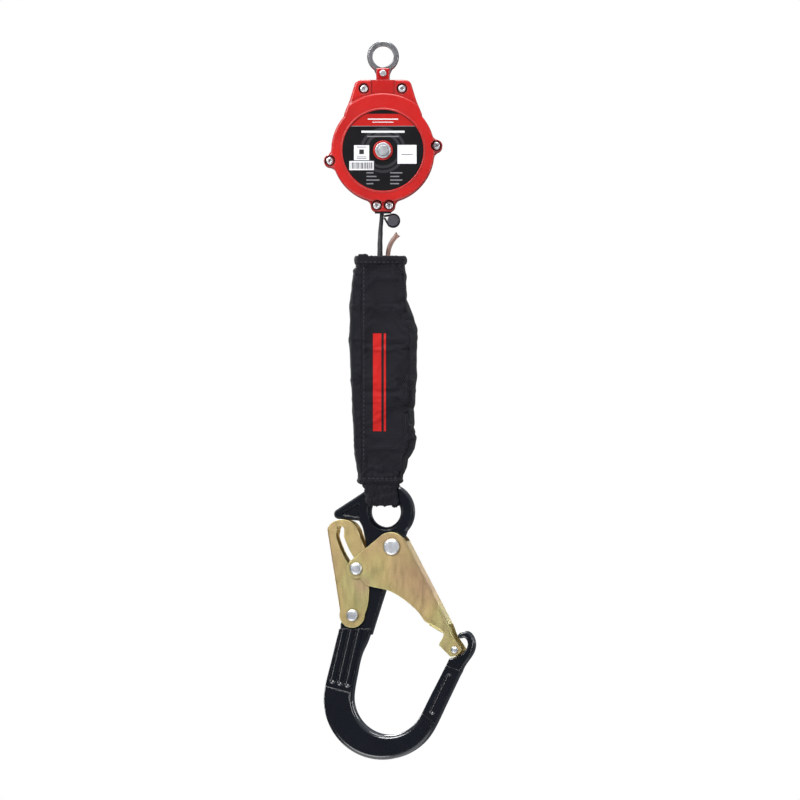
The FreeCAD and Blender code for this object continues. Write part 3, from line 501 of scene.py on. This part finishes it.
def label(side, tag):
    """Plain printed label: red band, panels, bars and two rings."""
    def bar(name, x0, x1, z0, z1, mat, lift=0.00006):
        ink("%s_%s" % (name, tag), side, x0, x1, z0, z1, mat, lift)

    bar("label_band", -0.0345, 0.0345, 0.0209, 0.0312, RED_INK, 0.00003)
    bar("label_stripe", -0.0345, 0.0345, 0.0204, 0.0209, GREY_INK, 0.00003)
    bar("heading_top", -0.0130, 0.0130, 0.0262, 0.0272, WHITE_INK)
    bar("heading_top_low", -0.0090, 0.0090, 0.0238, 0.0244, WHITE_INK)
    bar("heading_main", -0.0185, 0.0185, 0.0150, 0.0168, WHITE_INK)
    bar("heading_low", -0.0135, 0.0135, 0.0114, 0.0124, GREY_INK)
    bar("panel_left", -0.0248, -0.0118, -0.0085, 0.0044, WHITE_INK)
    bar("panel_code", -0.0288, -0.0078, -0.0170, -0.0092, WHITE_INK)
    bar("panel_right", 0.0124, 0.0288, -0.0115, 0.0046, WHITE_INK)
    x = -0.0276
    k = 0
    while x < -0.0094:
        width = 0.0003 + 0.0005 * abs(math.sin(7.3 * k))
        bar("code_%02d" % k, x, x + width, -0.0158, -0.0104, DARK_INK, 0.0001)
        x += width + 0.0004 + 0.0004 * abs(math.cos(5.1 * k))
        k += 1
    bar("square_left", -0.0203, -0.0163, -0.0033, 0.0007, DARK_INK, 0.0001)
    for i, z in enumerate((0.0028, -0.0056, -0.0070)):
        bar("line_left_%d" % i, -0.0224, -0.0142, z - 0.0004, z + 0.0003, GREY_INK, 0.0001)
    bar("line_right", 0.0158, 0.0254, -0.0040, -0.0032, GREY_INK, 0.0001)
    for i in range(4):
        z = -0.0192 - 0.0031 * i
        bar("low_left_%d" % i, -0.0142, -0.0082 + 0.0026 * (i % 3), z - 0.0006, z + 0.0004,
            GREY_INK)
        bar("low_right_%d" % i, 0.0062, 0.0166 - 0.0028 * (i % 2), z - 0.0006, z + 0.0004,
            GREY_INK)
    for i, radius in enumerate((0.0142, 0.0182)):
        ink_ring("label_ring_%d_%s" % (i, tag), side, radius, 0.0024, SHADE_INK, 0.00002)


label(-1, "front")
label(1, "rear")


# ----------------------------------------------------------- webbing pieces
def strap():
    """Webbing from the exit down into the pouch, turning a little on its way."""
    nodes = [(-0.9, 0, -134.7), (-1.2, 0, -138.0), (-2.0, 0, -147.0), (-2.5, 0, -160.0),
             (-2.7, 0, -171.0), (-2.7, 0, -178.0)]
    path = smooth_path([Vector(p) * MM for p in nodes], 90)

    def across(t):
        turn = math.radians(6.5 + 5.5 * t)
        return Vector((-math.sin(turn), math.cos(turn), 0.0)) * WEB_HALF

    obj = band("lifeline_strap", path, across, WEB_THICK, BAND, 0.0003)
    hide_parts("web_line")
    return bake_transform(obj)


def stopper():
    """Teardrop loop of webbing sewn round the stopper pin."""
    low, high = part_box("stopper_pin")
    c = (low + high) / 2
    r = 0.00535
    points = [Vector((0.0009, 0, -0.1371))]
    for i in range(15):
        a = math.radians(118 - 256 * i / 14)
        points.append(Vector((c.x + r * math.cos(a), 0, c.z + r * math.sin(a))))
    points.append(Vector((0.0012, 0, -0.1386)))
    path = smooth_path(points, 90)
    obj = band("stopper_band", path, lambda t: Vector((0, WEB_HALF, 0)), 0.0016, BAND)
    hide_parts("stopper_loop")
    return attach(obj, "pack")


def tail():
    """Clear heat-cut strip that stands out of the pouch mouth."""
    nodes = [(4.2, -1.4, -178.0), (4.3, -1.4, -169.7), (5.2, -1.6, -164.6), (7.2, -1.8, -159.8),
             (10.0, -1.6, -155.8), (12.9, -1.2, -152.7)]
    path = smooth_path([Vector(p) * MM for p in nodes], 60)
    verts = []
    for i, p in enumerate(path):
        t = i / (len(path) - 1)
        ahead = (path[min(i + 1, len(path) - 1)] - path[max(i - 1, 0)]).normalized()
        side = Vector((ahead.z, 0, -ahead.x))
        half = 0.0020 + 0.0007 * max(0.0, (t - 0.8) / 0.2) ** 2
        for j in range(9):
            u = j / 4.0 - 1.0
            q = p + side * (u * half)
            q.y += 0.0005 * (u * u) - 0.0004 + 0.0003 * wobble(q.x, u, q.z, 0.004, 3.0)
            if i == len(path) - 1:
                q += ahead * (0.0006 * wobble(u, 0.3, 0.1, 0.5, 1.0))
            verts.append(q)
    obj = mesh_object("pouch_tail_strip", verts, grid_faces(len(path), 9, False),
                      MATERIALS["clear_tail"])
    obj.modifiers.new("t", "SOLIDIFY").thickness = 0.0009
    apply_modifiers(obj)
    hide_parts("pouch_tail")
    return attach(obj, "pack")


strap()
stopper()
tail()


# --------------------------------------------------------------- the pouch
# In this section lengths are in millimetres. Each table gives, at a height, the
# cover's left edge, its right edge or its half depth.
LEFT = [(-172.3, -22.8), (-174.9, -23.3), (-178.5, -22.6), (-181.5, -22.5), (-183.8, -25.0),
        (-196.0, -26.6), (-203.0, -27.3), (-215.3, -28.2), (-241.9, -28.5), (-278.0, -27.4),
        (-300.1, -26.3), (-327.1, -25.0), (-342.4, -24.2), (-357.8, -20.8), (-366.2, -20.2),
        (-367.6, -17.4), (-371.6, -15.4), (-380.8, -14.4), (-386.4, -11.0)]
RIGHT = [(-172.3, 18.2), (-174.9, 18.9), (-178.5, 18.0), (-181.5, 17.8), (-188.3, 19.5),
         (-200.6, 20.0), (-215.3, 22.2), (-224.5, 25.6), (-234.4, 28.4), (-241.9, 29.1),
         (-278.0, 28.7), (-292.5, 27.1), (-301.7, 26.2), (-315.5, 26.8), (-327.8, 28.6),
         (-336.3, 26.4), (-346.2, 21.4), (-352.3, 19.6), (-359.3, 16.2), (-365.4, 15.4),
         (-367.4, 13.0), (-375.0, 13.6), (-382.0, 14.4), (-386.4, 14.0)]
DEPTH = [(-172.3, 11.0), (-181.0, 11.5), (-190.0, 12.4), (-215.0, 13.0), (-243.0, 13.3),
         (-292.0, 13.0), (-336.0, 12.3), (-357.0, 11.5), (-366.4, 11.4), (-372.0, 10.8),
         (-386.4, 10.4)]
MOUTH, END = -172.3, -386.0
SEAM = -18.0
MOST_PUFF = 2.4
RUN_FRAMES = 20
SLOT_TOP, SLOT_HALF = -0.3672, 0.0056


def along(table, z):
    return float(np.interp(-z, [-a for a, _ in table], [b for _, b in table]))


def closed_curve(points, count):
    """Even samples of a closed Catmull-Rom curve."""
    n = len(points)
    fine = []
    for i in range(n):
        around = [np.array(points[(i + k) % n], float) for k in (-1, 0, 1, 2)]
        for k in range(16):
            fine.append(spline(*around, k / 16.0))
    fine.append(fine[0])
    fine = np.array(fine)
    run = np.concatenate([[0.0], np.cumsum(np.linalg.norm(np.diff(fine, axis=0), axis=1))])
    s = np.linspace(0.0, run[-1], count, endpoint=False)
    return np.stack([np.interp(s, run, fine[:, 0]), np.interp(s, run, fine[:, 1])], 1)


def ring(z, count):
    """Outline of the cover at a height; its right side is folded back."""
    left, right, depth = along(LEFT, z), along(RIGHT, z), along(DEPTH, z)
    fold = min(1.0, max(0.0, (-212.0 - z) / 14.0)) * min(1.0, max(0.0, (z + 354.0) / 10.0))
    mid = (left + right) / 2
    return closed_curve([
        (left + 1.2, -depth * 0.80), (left + 5.0, -depth), (mid, -depth * 1.02),
        (right - 4.0 - 4.6 * fold, -depth), (right - 2.4 - 4.0 * fold, -depth * 0.88),
        (right - 0.8 - 0.6 * fold, -depth * 0.25), (right, depth * 0.30),
        (right - 2.0, depth * 0.86), (right - 7.0, depth), (mid, depth * 1.02),
        (left + 6.0, depth), (left + 1.0, depth * 0.84), (left, 0.0)], count)


def outward(points):
    step = np.roll(points, -1, 0) - np.roll(points, 1, 0)
    step /= np.linalg.norm(step, axis=1)[:, None]
    return np.stack([step[:, 1], -step[:, 0]], 1)


def puffed(rows, cols):
    """Short cloth run of the cover under pressure; gives every point's shift in mm."""
    heights = np.linspace(MOUTH, END, rows)
    rings = [ring(z, cols) for z in heights]
    start = np.array([[(x, y, z) for x, y in r] for r, z in zip(rings, heights)])
    sheet = mesh_object("cloth_run", start.reshape(-1, 3) * MM, grid_faces(rows, cols, True),
                        MATERIALS["pouch_fabric"])
    pins = sheet.vertex_groups.new(name="pins")
    for i, z in enumerate(heights):
        for j in range(cols):
            x, y = rings[i][j]
            hold = 0.0
            if z > -175.5 or z < -364.0:
                hold = 1.0
            elif y < 0 and abs(x - SEAM) < 1.4:
                hold = 0.8
            elif y < 0 and abs(x - 21.0) < 1.2 and -345.0 < z < -220.0:
                hold = 0.35
            if hold:
                pins.add([i * cols + j], hold, "REPLACE")
    cloth = sheet.modifiers.new("cloth", "CLOTH")
    fabric = cloth.settings
    fabric.quality = 6
    fabric.mass = 0.2
    fabric.tension_stiffness = 18.0
    fabric.compression_stiffness = 12.0
    fabric.shear_stiffness = 8.0
    fabric.bending_stiffness = 0.25
    fabric.use_pressure = True
    fabric.uniform_pressure_force = 4.0
    fabric.shrink_min = -0.05
    fabric.vertex_group_mass = "pins"
    fabric.effector_weights.gravity = 0.0
    cloth.point_cache.frame_start = 1
    cloth.point_cache.frame_end = RUN_FRAMES
    scene = bpy.context.scene
    for frame_number in range(1, RUN_FRAMES + 1):
        scene.frame_set(frame_number)
    graph = bpy.context.evaluated_depsgraph_get()
    end = np.empty(rows * cols * 3)
    sheet.evaluated_get(graph).data.vertices.foreach_get("co", end)
    bpy.data.objects.remove(sheet)
    scene.frame_set(1)
    shift = end.reshape(rows, cols, 3) / MM - start
    size = np.linalg.norm(shift, axis=2, keepdims=True)
    print("cloth shift mm: mean %.2f, most %.2f" % (size.mean(), size.max()))
    return shift * np.minimum(1.0, MOST_PUFF / np.maximum(size, 1e-6))


def resampled(field, count, closed):
    """Smooth resampling of a field along its first axis."""
    n = len(field)
    spots = np.arange(count) * (n / count) if closed else np.linspace(0, n - 1, count)
    base = np.floor(spots).astype(int)
    t = (spots - base).reshape(-1, 1, 1)

    def pick(k):
        return field[(base + k) % n if closed else np.clip(base + k, 0, n - 1)]

    return spline(pick(-1), pick(0), pick(1), pick(2), t)


def dent(value, place, width):
    return math.exp(-((value - place) / width) ** 2)


def cloth_detail(x, y, z, ny):
    """Outward push of hems, seam, creases and pleats at a point, in millimetres."""
    top = max(0.0, 1.0 - (MOUTH - z) / 20.0)
    low = max(0.0, min(1.0, (-330.0 - z) / 34.0))
    tied = 1.0 if z < -366.8 else 0.0
    push = 0.40 * wobble(x, y, z, 17.0, 0.3) + 0.30 * wobble(x, y, z, 6.5, 1.7)
    push += 0.35 * wobble(x * 0.6 + z * 0.5, y, z * 0.9 - x * 0.3, 8.0, 4.1)
    push += top * 0.6 * wobble(x * 1.7, y, z * 0.35, 5.0, 2.2)
    pleat = wobble(x * 1.9, y * 1.2, z * 0.25, 4.6, 5.0)
    push += low * (0.9 * pleat + 0.3 * wobble(x * 3, y * 2, z * 0.6, 4.0, 8.0))
    push += tied * (1.3 * wobble(x, y, z * 0.7, 3.6, 7.0) + 0.7 * wobble(x, y, z, 1.9, 9.0))
    push += 0.55 * (1.0 if z > -178.2 else 0.0) - 0.7 * dent(z, -178.6, 0.5)
    push += 0.9 * dent(z, -364.6, 1.0) - 0.9 * dent(z, -367.4, 0.9)
    side = max(0.0, min(1.0, (x + 6.0) / 20.0))
    push -= 0.9 * dent(z, -221.0 + 0.4 * (x + 10.0) + 3.0 * wobble(x, y, 0, 20.0, 6.0), 2.6) * side
    push -= 0.9 * dent(z, -300.0 - 0.45 * (x - 20.0), 2.8) * side
    push -= 0.8 * dent(z, -336.0 + 0.9 * (x - 8.0), 2.4) * side
    push -= 0.7 * dent(z, -352.0 + 0.8 * (x + 6.0), 1.8) * max(0.0, min(1.0, (18.0 + x) / 8.0))
    push -= 0.5 * dent(z, -189.0 - 0.5 * (x + 20.0), 1.6) * max(0.0, min(1.0, (-6.0 - x) / 10.0))
    if ny < -0.4 and z < -178.6 and z > -366.0:
        d = x - SEAM - 0.5 * wobble(0, 0, z, 40.0, 1.0)
        push += -1.1 * dent(d, 0.0, 0.5) + 0.6 * dent(d, 1.4, 0.9)
    return push


def pouch():
    """Fabric cover: hemmed mouth, side seam, soft creases, gathered lower end."""
    cols, count = 232, 268
    heights = np.linspace(MOUTH, END, count)
    shift = resampled(puffed(92, 76), count, False)
    shift = resampled(shift.transpose(1, 0, 2), cols, True).transpose(1, 0, 2)
    verts = []
    for i, z in enumerate(heights):
        points = ring(z, cols)
        from_top, from_end = i / 11.0, (count - 1 - i) / 14.0
        for (x, y), (nx, ny), move in zip(points, outward(points), shift[i]):
            push = cloth_detail(x, y, z, ny)
            dx, dy, dz = move * (0.85 - 0.55 * abs(nx))
            lift = max(0.0, 1.0 - from_top) * (0.5 * wobble(x, y, 0, 6.0, 9.0)
                                               + 0.4 * wobble(x, y, 0, 1.8, 3.0))
            if -20.4 < x < -13.2 and y < 0:
                lift += 1.4 * max(0.0, 1.0 - from_top)
            lift += max(0.0, 1.0 - from_end) * (2.0 * wobble(x, y, 0, 4.0, 12.0)
                                                + 1.2 * wobble(x, y, 0, 1.1, 2.0))
            verts.append((x + nx * push + dx, y + ny * push + dy, z + lift + dz))
    mouth = verts[:cols]
    middle = np.mean(np.array(mouth), axis=0)
    inner = []
    for size, drop in ((0.04, 7.0), (0.30, 6.4), (0.55, 5.6), (0.75, 4.6), (0.88, 3.2),
                       (0.93, 1.4)):
        for x, y, z in mouth:
            tuck = 0.9 * wobble(x * 1.4, y * 1.4, drop, 5.0, 6.0)
            inner.append((middle[0] + (x - middle[0]) * size, middle[1] + (y - middle[1]) * size,
                          z - drop + tuck * min(1.0, drop / 4.0)))
    verts = [Vector(v) * MM for v in inner + verts]
    turn = math.sin(-HOOK_TURN), math.cos(-HOOK_TURN)

    def keep(centre):
        """False in the slot, in metres, that the hook's eye passes through."""
        local = centre - HOOK_EYE
        return centre.z > SLOT_TOP or abs(local.x * turn[0] + local.y * turn[1]) > SLOT_HALF

    obj = grid_object("absorber_cover", verts, count + 6, cols, MATERIALS["pouch_fabric"],
                      True, keep)
    thick = obj.modifiers.new("t", "SOLIDIFY")
    thick.thickness = 0.0010
    thick.offset = -1.0
    apply_modifiers(obj)
    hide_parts("absorber_pouch", "pouch_gather")
    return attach(obj, "pack")


cover = pouch()


def hook_web():
    """Sewn loop of webbing that carries the hook inside the gathered end."""
    line = [(0.0, 47.8), (-5.2, 47.0), (-7.0, 42.5), (-7.0, 30.0), (-7.0, 17.0), (-5.9, 12.2),
            (-3.2, 10.0), (0.0, 9.7), (3.2, 10.0), (5.9, 12.2), (7.0, 17.0), (7.0, 30.0),
            (7.0, 42.5), (5.2, 47.0), (0.0, 47.8)]
    c, s = math.cos(HOOK_TURN), math.sin(HOOK_TURN)
    path = smooth_path([HOOK_EYE + Vector((-s * y, c * y, z)) * MM for y, z in line], 120)
    obj = band("hook_web_band", path, lambda t: Vector((c, s, 0)) * 0.0064, WEB_THICK, BAND)
    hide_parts("lower_web_loop")
    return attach(obj, "pack")


hook_web()


# ------------------------------------------------------- print and stitches
PRINT_STEP = 0.4
PRINT_TOP, PRINT_END = -238.0, -322.0


def on_cover(points, lift):
    """Drops points given as x and z in millimetres onto the front of the pouch."""
    out = []
    for x, z in points:
        place = cover.ray_cast(
            cover.matrix_world.inverted() @ Vector((x * MM, -0.1, z * MM)), Vector((0, 1, 0)))[1]
        out.append(place + Vector((0, -lift, 0)))
    return out


RED_PRINT = moulded("red_print", (0.50, 0.010, 0.008), 0.6, 0.0, Specular_IOR_Level=0.2)


def printed(name, corners, mat):
    """Patch of ink that follows the cloth inside a four-cornered outline."""
    flat = []
    a, b, c, d = [Vector((x, z)) for x, z in corners]
    across, down = [max(4, int(length / PRINT_STEP)) for length in ((b - a).length, (d - a).length)]
    for i in range(down + 1):
        for j in range(across + 1):
            s, t = j / across, i / down
            p = a.lerp(b, s).lerp(d.lerp(c, s), t)
            flat.append((p.x, p.y))
    obj = mesh_object(name, on_cover(flat, 0.00022), grid_faces(down + 1, across + 1, False), mat)
    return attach(obj, "pack")


# a wide and a narrow plain stripe along the pouch
for tag, x, half in (("wide", -5.0, 3.6), ("narrow", 1.6, 0.9)):
    printed("print_stripe_" + tag, [(x - half, PRINT_TOP), (x + half, PRINT_TOP),
                                    (x + half, PRINT_END), (x - half, PRINT_END)], RED_PRINT)


def stitches(name, line, mat, length=2.3, gap=1.5, radius=0.00022):
    """Row of short thread stitches lying on the cloth."""
    bm = bmesh.new()
    s = 0.0
    pts = [Vector((x, z)) for x, z in line]
    total = sum((b - a).length for a, b in zip(pts, pts[1:]))

    def at(distance):
        for a, b in zip(pts, pts[1:]):
            if distance <= (b - a).length:
                return a.lerp(b, distance / (b - a).length)
            distance -= (b - a).length
        return pts[-1]

    while s + length < total:
        ends = on_cover([tuple(at(s)), tuple(at(s + length))], 0.00012)
        mid = (ends[0] + ends[1]) / 2 + Vector((0, -0.00014, 0))
        rings = []
        ahead = (ends[1] - ends[0]).normalized()
        side = ahead.cross(Vector((0, 1, 0))).normalized()
        for p, k in ((ends[0], 0.5), (ends[0].lerp(mid, 0.5), 1.0), (mid, 1.0),
                     (ends[1].lerp(mid, 0.5), 1.0), (ends[1], 0.5)):
            ring = [bm.verts.new(p + (side * math.cos(a) + Vector((0, 1, 0)) * math.sin(a))
                                 * radius * k) for a in np.linspace(0, 2 * math.pi, 6, False)]
            rings.append(ring)
        for a, b in zip(rings, rings[1:]):
            for j in range(6):
                bm.faces.new((a[j], a[(j + 1) % 6], b[(j + 1) % 6], b[j]))
        bm.faces.new(rings[0][::-1])
        bm.faces.new(rings[-1])
        s += length + gap
    mesh = bpy.data.meshes.new(name)
    bm.to_mesh(mesh)
    bm.free()
    mesh.materials.append(mat)
    for poly in mesh.polygons:
        poly.use_smooth = True
    obj = bpy.data.objects.new(name, mesh)
    bpy.context.scene.collection.objects.link(obj)
    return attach(obj, "pack")


THREAD = moulded("thread", (0.05, 0.05, 0.062), 0.6, 0.0)
stitches("seam_stitch", [(-16.4, -181.0), (-16.4, -350.0)], THREAD)
stitches("mouth_stitch", [(-19.5, -176.9), (15.0, -176.9)], THREAD)
stitches("tie_stitch", [(-17.0, -362.4), (12.5, -362.4)], THREAD)


def gate_coil():
    """Torsion spring of the gate; it turns with the gate that its leg pushes."""
    coil_r, wire_r, turns = 8.0, 0.00045, 1.75
    near, pitch, centre_x, centre_z = 5.65, 1.73, 7.0, -30.0
    steps, sides, spots = 64, 10, 200
    c, s = math.cos(HOOK_TURN), math.sin(HOOK_TURN)
    line = [(15.0, near, -40.5), (15.0, near, -36.0)]
    for i in range(steps):
        t = i / (steps - 1)
        a = 2 * math.pi * turns * i / (steps - 1)
        line.append((centre_x + coil_r * math.cos(a), near + pitch * t,
                     centre_z - coil_r * math.sin(a)))
    path = smooth_path([HOOK_EYE + Vector((c * x - s * y, s * x + c * y, z)) * MM
                        for x, y, z in line], spots)
    verts = []
    for i, p in enumerate(path):
        ahead = (path[min(i + 1, spots - 1)] - path[max(i - 1, 0)]).normalized()
        side = ahead.cross(Vector((-s, c, 0))).normalized()
        up = ahead.cross(side)
        for k in range(sides):
            a = 2 * math.pi * k / sides
            verts.append(p + (side * math.cos(a) + up * math.sin(a)) * wire_r)
    obj = mesh_object("gate_spring_wire", verts, grid_faces(spots, sides, True),
                      MATERIALS["spring_steel"])
    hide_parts("gate_spring")
    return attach(obj, "gate")


gate_coil()


# ------------------------------------------------------- stage and lighting
def stage():
    """Pale floor disc, and a world that is white to the camera and graded to the part."""
    floor_z, floor_r, sides = -1.95, 1.8, 96
    verts = [Vector((0, 0, floor_z))]
    verts += [Vector((floor_r * math.cos(a), floor_r * math.sin(a), floor_z))
              for a in np.linspace(0, 2 * math.pi, sides, False)]
    faces = [(0, 1 + i, 1 + (i + 1) % sides) for i in range(sides)]
    look = Look("floor", (0.82, 0.82, 0.82), 0.7)
    look.color(look.noise(3.0), (0.3, (0.80, 0.80, 0.80)), (0.7, (0.84, 0.84, 0.84)))
    floor = mesh_object("floor", verts, faces, look.mat)

    world = bpy.data.worlds.new("studio")
    bpy.context.scene.world = world
    world.use_nodes = True
    tree = world.node_tree
    tree.nodes.clear()
    out = tree.nodes.new("ShaderNodeOutputWorld")
    mix = tree.nodes.new("ShaderNodeMixShader")
    rays = tree.nodes.new("ShaderNodeLightPath")
    seen = tree.nodes.new("ShaderNodeBackground")
    fill = tree.nodes.new("ShaderNodeBackground")
    place = tree.nodes.new("ShaderNodeTexCoord")
    split = tree.nodes.new("ShaderNodeSeparateXYZ")
    height = tree.nodes.new("ShaderNodeMapRange")
    ramp = tree.nodes.new("ShaderNodeValToRGB")
    height.inputs["From Min"].default_value = -1.0
    elements = ramp.color_ramp.elements
    elements.new(0.40)
    elements.new(0.62)
    for element, (spot, color) in zip(elements, (
            (0.0, (0.34, 0.34, 0.35)), (0.36, (0.06, 0.065, 0.075)),
            (0.60, (0.07, 0.08, 0.10)), (1.0, (0.75, 0.80, 0.88)))):
        element.position = spot
        element.color = (*color, 1.0)
    seen.inputs["Color"].default_value = (1, 1, 1, 1)
    tree.links.new(place.outputs["Generated"], split.inputs[0])
    tree.links.new(split.outputs["Z"], height.inputs["Value"])
    tree.links.new(height.outputs["Result"], ramp.inputs["Fac"])
    tree.links.new(ramp.outputs["Color"], fill.inputs["Color"])
    tree.links.new(rays.outputs["Is Camera Ray"], mix.inputs["Fac"])
    tree.links.new(fill.outputs[0], mix.inputs[1])
    tree.links.new(seen.outputs[0], mix.inputs[2])
    tree.links.new(mix.outputs[0], out.inputs["Surface"])


def area(name, place, target, size, power, size_y=None):
    light = bpy.data.lights.new(name, "AREA")
    light.energy = power
    light.size = size
    if size_y:
        light.shape = "RECTANGLE"
        light.size_y = size_y
    obj = bpy.data.objects.new(name, light)
    bpy.context.scene.collection.objects.link(obj)
    obj.location = place
    obj.rotation_euler = (Vector(target) - Vector(place)).to_track_quat("-Z", "Y").to_euler()


def camera():
    """Long lens from far away, so that the view has almost no perspective."""
    data = bpy.data.cameras.new("camera")
    data.lens = 300.0
    data.clip_end = 50.0
    obj = bpy.data.objects.new("camera", data)
    bpy.context.scene.collection.objects.link(obj)
    obj.location = (0.0146, -5.733, -0.2952)
    obj.rotation_euler = (math.radians(90), 0, 0)
    bpy.context.scene.camera = obj


stage()
area("key", (-1.3, -2.0, 0.9), (0, 0, -0.3), 1.1, 62, 1.1)
area("side", (1.5, -1.3, -0.2), (0, 0, -0.35), 0.35, 10, 1.5)
area("low", (-1.1, -1.5, -1.5), (0, 0, -0.4), 0.8, 10)
area("top", (0.1, -0.2, 1.1), (0, 0, -0.3), 0.7, 14)
area("back_key", (-0.6, 1.8, 1.5), (0, 0, -0.3), 1.1, 62, 1.1)
area("rim", (1.5, 1.9, -0.05), (0, 0, -0.45), 0.5, 7, 0.9)
area("front_strip", (0.75, -2.4, -1.0), (0, 0, -0.5), 0.12, 5, 1.2)
area("back_side", (-1.5, 1.2, -0.2), (0, 0, -0.35), 0.35, 12, 1.5)
camera()
bpy.context.scene.view_settings.view_transform = "Standard"
